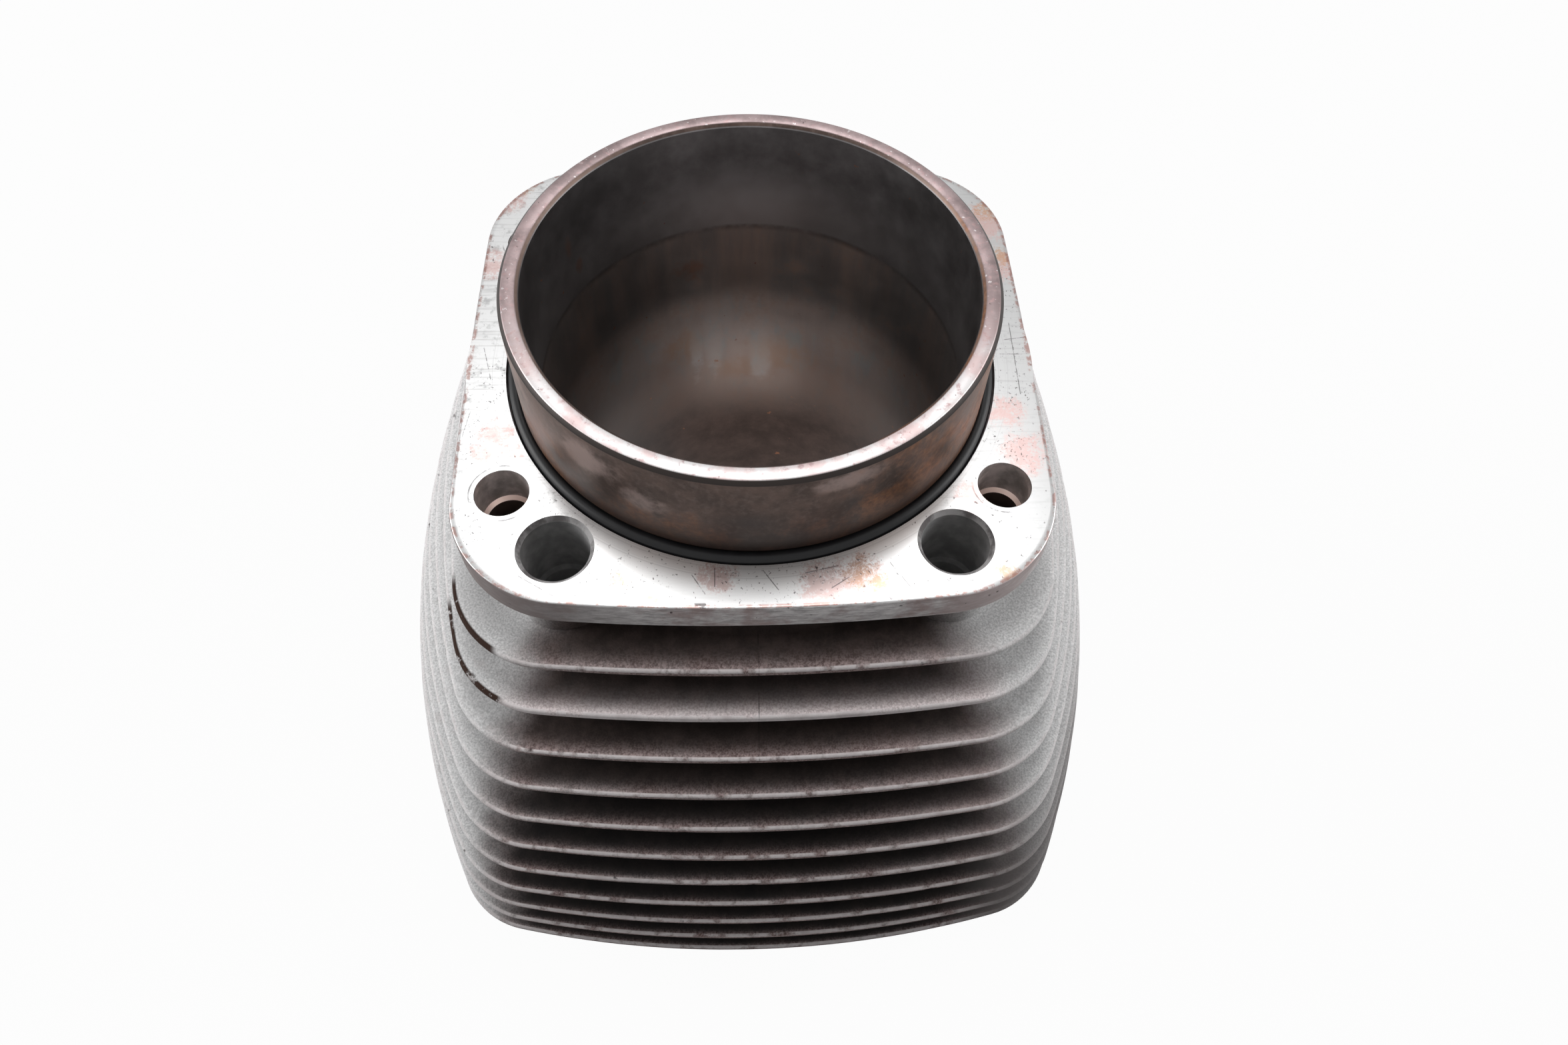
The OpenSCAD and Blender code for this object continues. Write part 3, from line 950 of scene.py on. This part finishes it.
# %% Mark the face
PINK, ORANGE = (0.5, 0.3, 0.275), (0.4, 0.225, 0.115)
FLECK, SCRATCH, SPECK = (0.08, 0.075, 0.075), (0.09, 0.085, 0.085), (0.07, 0.06, 0.06)
RUSTY_LINE, FACE_NICK = (0.26, 0.13, 0.11), (0.05, 0.04, 0.04)
WASHER_R_MM = 6.8


def stain(places, threshold):
    """How strongly stains at these places show, where they break up into specks."""
    where = highest([near(*one) for one in places])
    return (where * 0.14 + broken).ramp(threshold, threshold + 0.14) * where.ramp(0.0, 0.4) * 0.6


flecked = highest([near(*one) for one in FLECK_PLACES])
flecks = g.noise(place, 1500, 2, 0.6, 23.0).ramp(0.6, 0.66) * rough_mix.ramp(0.44, 0.54)
off_washer = (stud_distance - WASHER_R_MM * MM).math("ABSOLUTE")
washer_mark = off_washer.ramp_mm(0.22, 0.08) * clouds.ramp(0.48, 0.56)
lines = highest([scratch(*ends) for ends in SCRATCH_ENDS] + [washer_mark])
specks = g.noise(place, 1000, 2, 0.5, 21.0).ramp(0.67, 0.72) * clouds.ramp(0.36, 0.52)
rim_line = from_edge.ramp_mm(1.2, 0.7) * rough_mix.ramp(0.46, 0.56)
face_nicks = from_edge.ramp_mm(1.6, 1.1) * edge_nicks.math("MAXIMUM", fine_clouds.ramp(0.66, 0.7))
face_colour = g.layers(
    face_colour,
    (stain(PINK_PLACES, 0.5), PINK),
    (stain(ORANGE_PLACES, 0.53), ORANGE),
    (flecks * flecked.ramp(0.0, 0.3) * 0.8, FLECK),
    (lines * rough_mix.ramp(0.38, 0.5) * 0.75, SCRATCH),
    (specks * 0.8, SPECK),
    (rim_line * 0.7, RUSTY_LINE),
    (face_nicks * 0.8, FACE_NICK),
)

# %% [markdown]
# ### The holes, the deck, and the whole barrel
#
# The dowel seats are bright with a warm shoulder, and below them the stud holes are darkened as
# painted shade. The oil passages are dull with a darker mouth. At the end the zones choose between
# all these colours, and between bare metal, which is metallic and smoother, and cast skin, which
# is neither.

# %% Finish the aluminium
SEAT = (0.45, 0.43, 0.42), (0.95, 0.89, 0.88)
DEEP_HOLE_SHADE, SHOULDER = (0.14, 0.105, 0.09), (0.95, 0.76, 0.68)
PASSAGE = (0.3, 0.3, 0.3), (0.46, 0.455, 0.455)
PASSAGE_MOUTH = (0.16, 0.15, 0.15), (0.42, 0.41, 0.41)
DECK = (0.8, 0.79, 0.78), (0.45, 0.41, 0.39)

seat_floor = flange_face - DOWEL_SEAT_DEPTH
# Painted shade deep in the stud holes, below the seats
deep_hole_shade = z.ramp_mm(-0.6, -0.9, seat_floor)
shoulder = stud_zone * facing_up.ramp(0.3, 0.6)
mouth = z.ramp_mm(-1.0, -0.8, flange_face)
mouth_colour = g.mix(fine_clouds.ramp(0.4, 0.6), *PASSAGE_MOUTH)
hole_colour = g.layers(g.mix(cloudy, *SEAT), (deep_hole_shade, DEEP_HOLE_SHADE), (shoulder, SHOULDER))
passage_colour = g.layers(g.mix(cloudy, *PASSAGE), (mouth, mouth_colour))
colour = g.layers(
    fin_colour,
    (flange_zone, side_colour),
    (deck_zone, g.mix(fine_clouds.ramp(0.4, 0.75), *DECK)),
    (face_zone, face_colour),
    (stud_zone, hole_colour),
    (passage_zone, passage_colour),
)
surface(g, {
    "Base Color": colour,
    "Metallic": highest([face_zone, deck_zone, stud_zone * 0.6, flange_zone * 0.5 * (1 - passage_zone)]),
    "Roughness": 0.72 - face_zone * 0.42 - deck_zone * 0.4 - stud_zone * 0.3 - flange_zone * 0.02,
    "Specular IOR Level": 0.12,
}, bump=(sand * 0.7 + fine_clouds) * (1 - machined) * (1 - flange_zone * 0.8))

# %% [markdown]
# ### The iron liner
#
# The spigot is brown outside, with brighter rust low down on its right side. The bore is grey at
# the top, has a worn ridge where the piston rings turned back, and is brown and streaked below.
# The streaks run down the wall, so their noise is stretched along z. A mark that stands at one
# place is a patch: its angle round the axis in degrees, and then, in millimetres, its height
# above the deck's underside and how far it reaches sideways and up.

# %% Mark out the iron
g, place = finish(iron)
x, y, z = g.split(place)
radius = length(x, y)
mottle = g.noise(place, 110, 5, 0.65, 1.0)
fine_mottle = g.noise(place, 700, 4, 0.6, 3.0)
drips = g.noise(g.join(x, y, z * 0.14), 95, 5, 0.62, 5.0)
to_right, to_front = x / radius, -y / radius
bore_zone = radius.ramp_mm(0.3, 0.1, bore_r)
rim_zone = z.ramp_mm(-0.2, -0.06, rim_z)


def patch(turn, height, wide, tall):
    """1 in the middle of a soft patch at this angle and height on the wall, falling to 0."""
    turn = math.radians(turn)
    off_x, off_y = x - radius * math.cos(turn), y - radius * math.sin(turn)
    off_z = (z - height * MM) / (tall * MM)
    return (((off_x ** 2 + off_y ** 2) / (wide * MM) ** 2 + off_z ** 2) ** 0.5).ramp(1.0, 0.0)


def patches(threshold, *places):
    """Patches that break up at their borders."""
    where = highest([patch(*one) for one in places])
    return (where * 0.3 + mottle).ramp(threshold, threshold + 0.28) * where.ramp(0.0, 0.6)


# %% Colour the outside of the spigot
BARE = (0.045, 0.028, 0.022), (0.108, 0.07, 0.057)
PALE_GRAIN, PALE_PATCH_AND_HIGHLIGHT, DARK_PATCH_AND_SHADE = (0.15, 0.11, 0.097), (0.3, 0.225, 0.205), (0.03, 0.022, 0.02)
LEFT_PAINTED_LIGHT, RIGHT_PAINTED_LIGHT = (0.2, 0.135, 0.11), (0.26, 0.185, 0.155)
RUST = (0.09, 0.034, 0.014), (0.24, 0.095, 0.036)
LOW_FRONT_SHADE, CHAMFER_RUST_AND_SHADE = (0.03, 0.02, 0.017), (0.02, 0.014, 0.012)

# Pale patches are partly painted highlights of the side lamps, and dark patches partly painted shade below
# them, over real mottling
pale_and_highlight_patches = patches(
    0.55, (-128, 143, 13, 9), (-115, 138, 9, 6), (-158, 145, 16, 11), (-22, 146, 14, 9), (-70, 147, 14, 5))
dark_and_shade_patches = patches(0.55, (-92, 137, 13, 7), (-68, 138, 14, 6), (-140, 133, 10, 5))
rust_patches = patches(0.6, (-42, 141, 18, 11), (-112, 128.5, 14, 3.5), (-160, 132, 12, 6))
low_down = z.ramp(rim_z - 6 * MM, relief_top + MM)
rust_side = (to_right - y / radius * 0.3).ramp(0.35, 0.9)
rusty = (mottle - 0.5 + low_down * 0.24 + rust_side * 0.22).ramp(0.1, 0.42)
# Painted shade low on the front of the spigot, above the ring
low_front_shade = z.ramp_mm(12, 1, relief_top) * to_front.ramp(0.3, 0.9)
# The outer chamfer under the rim is dark rust with painted shade
outer_chamfer = z.ramp_mm(-1.05, -0.95, rim_z)
outer_chamfer = outer_chamfer * radius.ramp_mm(-1.0, -0.9, spigot_r)
outside = g.layers(
    g.mix(mottle.ramp(0.35, 0.65), *BARE),
    (fine_mottle.ramp(0.45, 0.7) * 0.35, PALE_GRAIN),
    (pale_and_highlight_patches * 0.8, PALE_PATCH_AND_HIGHLIGHT),
    (dark_and_shade_patches * 0.8, DARK_PATCH_AND_SHADE),
    # Painted light from the side lamps on the spigot's left and right
    (to_right.ramp(-0.45, -0.9) * 0.35, LEFT_PAINTED_LIGHT),
    (to_right.ramp(0.55, 0.95) * 0.5, RIGHT_PAINTED_LIGHT),
    (rusty.math("MAXIMUM", rust_patches) * 0.9, g.mix(fine_mottle.ramp(0.3, 0.7), *RUST)),
    (low_front_shade * 0.8, LOW_FRONT_SHADE),
    (outer_chamfer * mottle.ramp(0.25, 0.4), CHAMFER_RUST_AND_SHADE),
)

# %% Colour the upper wall of the bore
RIDGE_Z = 120 * MM
POLISHED_Z = 101 * MM
GREY, PALE_GREY = ((0.12, 0.112, 0.112), (0.19, 0.178, 0.179)), (0.46, 0.435, 0.44)
BROWN, RED_BROWN, SHADOW_BROWN = ((0.34, 0.315, 0.31), (0.5, 0.4, 0.36)), (0.52, 0.33, 0.24), (0.2, 0.18, 0.175)

off_middle = to_right.math("ABSOLUTE").ramp(0.08, 0.5)
above_ridge = z.ramp_mm(-0.8, 0.8, RIDGE_Z)
polished = (z + (mottle - 0.5) * 7 * MM).ramp_mm(-1, -9, POLISHED_Z)
pale_band = z.ramp_mm(22, 4, RIDGE_Z) * (1 - off_middle * 0.45)
grey_wall = g.layers(g.mix(mottle.ramp(0.3, 0.75), *GREY), (pale_band, PALE_GREY))
brown_wall = g.layers(
    g.mix(drips.ramp(0.35, 0.7), *BROWN),
    (mottle.ramp(0.5, 0.75) * 0.5, RED_BROWN),
    # A painted shadow in a band just above the bright lower wall
    (z.ramp_mm(9, 1, POLISHED_Z) * 0.3, SHADOW_BROWN),
)

# %% Colour the lower wall of the bore
RUN, RUN_RUST = ((0.5, 0.41, 0.38), (0.65, 0.55, 0.51)), (0.52, 0.37, 0.31)
RUST_BLOOM, BLUE_METAL, LOW_TINT = (0.55, 0.36, 0.26), (0.42, 0.47, 0.48), (0.4, 0.26, 0.2)
LOW_WALL_SHADE = (0.035, 0.022, 0.018), (0.075, 0.048, 0.04)

# Dark brown low in the bore and towards its sides: rusty iron darkened by painted shade
low_wall_shade = g.mix(mottle.ramp(0.3, 0.75), *LOW_WALL_SHADE)
blooms = patches(0.5, (78, 74, 16, 14), (96, 66, 12, 10), (112, 78, 9, 12))
blue_mottle = g.noise(g.join(x, y, z * 0.4), 230, 4, 0.6, 19.0).ramp(0.5, 0.68)
run_wall = g.layers(
    g.mix(drips.ramp(0.3, 0.75), *RUN),
    ((mottle * 0.6 + drips * 0.4).ramp(0.46, 0.62) * 0.7, RUN_RUST),
    (blooms * 0.6, RUST_BLOOM),
    (blue_mottle * 0.5, BLUE_METAL),
    (z.ramp_mm(84, 62) * 0.5, LOW_TINT),
    (z.ramp_mm(92, 70) * off_middle * 0.6, low_wall_shade),
    (z.ramp_mm(84, 38), low_wall_shade),
)

# %% Mark the bore
RIDGE_LINE, WET_RUN, RED_SPOT = (0.06, 0.045, 0.04), (0.6, 0.64, 0.66), (0.33, 0.14, 0.07)
SHADE, SMALL_SPOT = (0.045, 0.044, 0.044), (0.3, 0.12, 0.06)

ridge = z.ramp_mm(-1.8, 0, RIDGE_Z) * z.ramp_mm(1, 0, RIDGE_Z)
runs = patches(0.55, (102, 79, 6, 32), (97, 90, 4, 20), (86, 74, 6, 28), (108, 74, 4, 24))
red_spots = patches(0.6, (150, 135, 3, 7), (147, 128, 2.5, 5), (110, 107, 12, 7))
shaded = to_right.ramp(-0.3, -0.85).math("MAXIMUM", to_right.ramp(0.55, 0.98) * 0.9)
small_spots = g.noise(place, 380, 3, 0.6, 9.0).ramp(0.68, 0.74)
inside = g.layers(
    g.mix(above_ridge, g.mix(polished, brown_wall, run_wall), grey_wall),
    (ridge * mottle.ramp(0.35, 0.6) * 0.5, RIDGE_LINE),
    (runs * 0.22, WET_RUN),
    (red_spots * 0.5, RED_SPOT),
    (shaded * 0.5, SHADE),
    (small_spots * 0.6, SMALL_SPOT),
)

# %% [markdown]
# ### The rim
#
# The rim is lighter towards the front and stained elsewhere, with pits and a few bright
# specks. The zones then choose between the spigot's outside, the bore and the rim.

# %% Finish the iron
STAINED = (0.32, 0.25, 0.25), (0.17, 0.13, 0.13)
FRONT_RIM_TONES = (0.53, 0.52, 0.52), (0.46, 0.365, 0.36)
RIM_STAIN, RIM_SPECK, RIM_PIT = (0.3, 0.2, 0.2), (0.62, 0.6, 0.6), (0.07, 0.05, 0.05)

stained_rim = g.mix(mottle.ramp(0.35, 0.65), *STAINED)
front_rim = g.mix(mottle.ramp(0.4, 0.6), *FRONT_RIM_TONES)
rim_colour = g.layers(
    g.mix((to_front + (mottle - 0.5) * 0.5).ramp(0.1, 0.7), stained_rim, front_rim),
    (fine_mottle.ramp(0.54, 0.68) * 0.75, RIM_STAIN),
    (g.noise(place, 900, 2, 0.6, 27.0).ramp(0.64, 0.7) * 0.5, RIM_SPECK),
    (g.noise(place, 520, 3, 0.7, 12.0).ramp(0.66, 0.7) * 0.8, RIM_PIT),
)
surface(g, {
    "Base Color": g.mix(rim_zone, g.mix(bore_zone, outside, inside), rim_colour),
    "Metallic": 0.55 + bore_zone * 0.4 + rim_zone * 0.3,
    "Roughness": mottle * 0.2 + 0.36 - bore_zone * 0.1,
}, bump=fine_mottle * 0.4 * (1 - bore_zone * 0.8), bump_distance=0.05 * MM)

# %% [markdown]
# ### The rubber
#
# Only a dark line of the ring shows, so one smear of noise in its colour and gloss is enough.

# %% Finish the rubber
RUBBER = (0.005, 0.005, 0.006), (0.014, 0.014, 0.015)
g, place = finish(rubber)
smear = g.noise(place, 300, 3, 0.6)
surface(g, {
    "Base Color": g.mix(smear, *RUBBER),
    "Roughness": smear * 0.2 + 0.25,
    "Specular IOR Level": 0.24,
})

# %% [markdown]
# ## The floor
#
# The photograph's background is white. A white floor under strong lamps would wash out the metal,
# so the floor and the world ask Light Path who is looking. To the camera and to reflections they
# are plain white, and to the light that falls on the object the floor is grey. A small share of
# its shade is kept, so that the cylinder stands on a faint shadow.

# %% Make the stage
FLOOR_HALF = 4.0
FLOOR_GAP = 0.05 * MM
SHADOW_SHARE = 0.035


def seen_directly(graph):
    """1 for what the camera sees, itself or in a reflection, and 0 for what lights the object."""
    camera_ray, glossy_ray, clear_ray = graph.node(
        "ShaderNodeLightPath", out=("Is Camera Ray", "Is Glossy Ray", "Is Transmission Ray"))
    return camera_ray.math("MAXIMUM", glossy_ray).math("MAXIMUM", clear_ray)


corners = [(side * FLOOR_HALF, end * FLOOR_HALF, 0) for side, end in ((-1, -1), (1, -1), (1, 1), (-1, 1))]
paper = bpy.data.materials.new("white_paper")
floor_mesh = mesh_of("floor", [(corners, [(0, 1, 2, 3)])], paper)
floor = link("floor", floor_mesh)
floor.location.z = -FLOOR_GAP

paper.use_nodes = True
g = Graph(paper.node_tree)
lit = g.node("ShaderNodeBsdfDiffuse", sockets={"Color": (0.4, 0.4, 0.4, 1.0)})
white = g.node("ShaderNodeEmission", sockets={"Color": (1.0, 1.0, 1.0, 1.0), "Strength": 1.0})
blend = g.node("ShaderNodeMixShader", sockets={0: seen_directly(g) * (1 - SHADOW_SHARE), 1: lit, 2: white})
g.node("ShaderNodeOutputMaterial", sockets={"Surface": blend})

# %% [markdown]
# ## The light
#
# Three square lamps stand where softboxes would: one above and behind, and one at each side, the
# left one a little stronger. Small lamps would give the metal hard glints, and large ones keep
# its highlights soft. The world adds a weak light from all round.

# %% Light the scene
WORLD_LIGHT = 0.13
LIT_POINT = Vector((0, 0, 0.08))
world = bpy.data.worlds.new("studio")
bpy.context.scene.world = world
world.use_nodes = True
g = Graph(world.node_tree)
strength = seen_directly(g) * (1 - WORLD_LIGHT) + WORLD_LIGHT
background = g.node("ShaderNodeBackground", sockets={"Color": (1.0, 1.0, 1.0, 1.0), "Strength": strength})
g.node("ShaderNodeOutputWorld", sockets={"Surface": background})


def softbox(name, at, size, watts):
    """A square lamp that faces the object's middle."""
    data = bpy.data.lights.new(name, "AREA")
    data.size = size
    data.energy = watts
    lamp = bpy.data.objects.new(name, data)
    bpy.context.scene.collection.objects.link(lamp)
    lamp.location = at
    lamp.rotation_euler = (LIT_POINT - Vector(at)).to_track_quat("-Z", "Y").to_euler()


softbox("top_light", (0.0, 0.5, 1.5), 0.8, 11.0)
softbox("left_light", (-1.3, 0.2, 0.75), 0.9, 16.0)
softbox("right_light", (1.3, 0.2, 0.75), 0.9, 12.0)

bpy.context.scene.view_settings.view_transform = "Standard"

# %% [markdown]
# ## Handing over
#
# Each piece is attached to the body it moves with, and the solid it stands for is hidden.

# %% Hand over the pieces
for piece, node, slot in ((barrel, "barrel", "cast_aluminium"), (liner, "liner", "liner_iron"),
                          (ring, "sealing_ring", "ring_rubber")):
    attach(piece, "root")
    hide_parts(node)
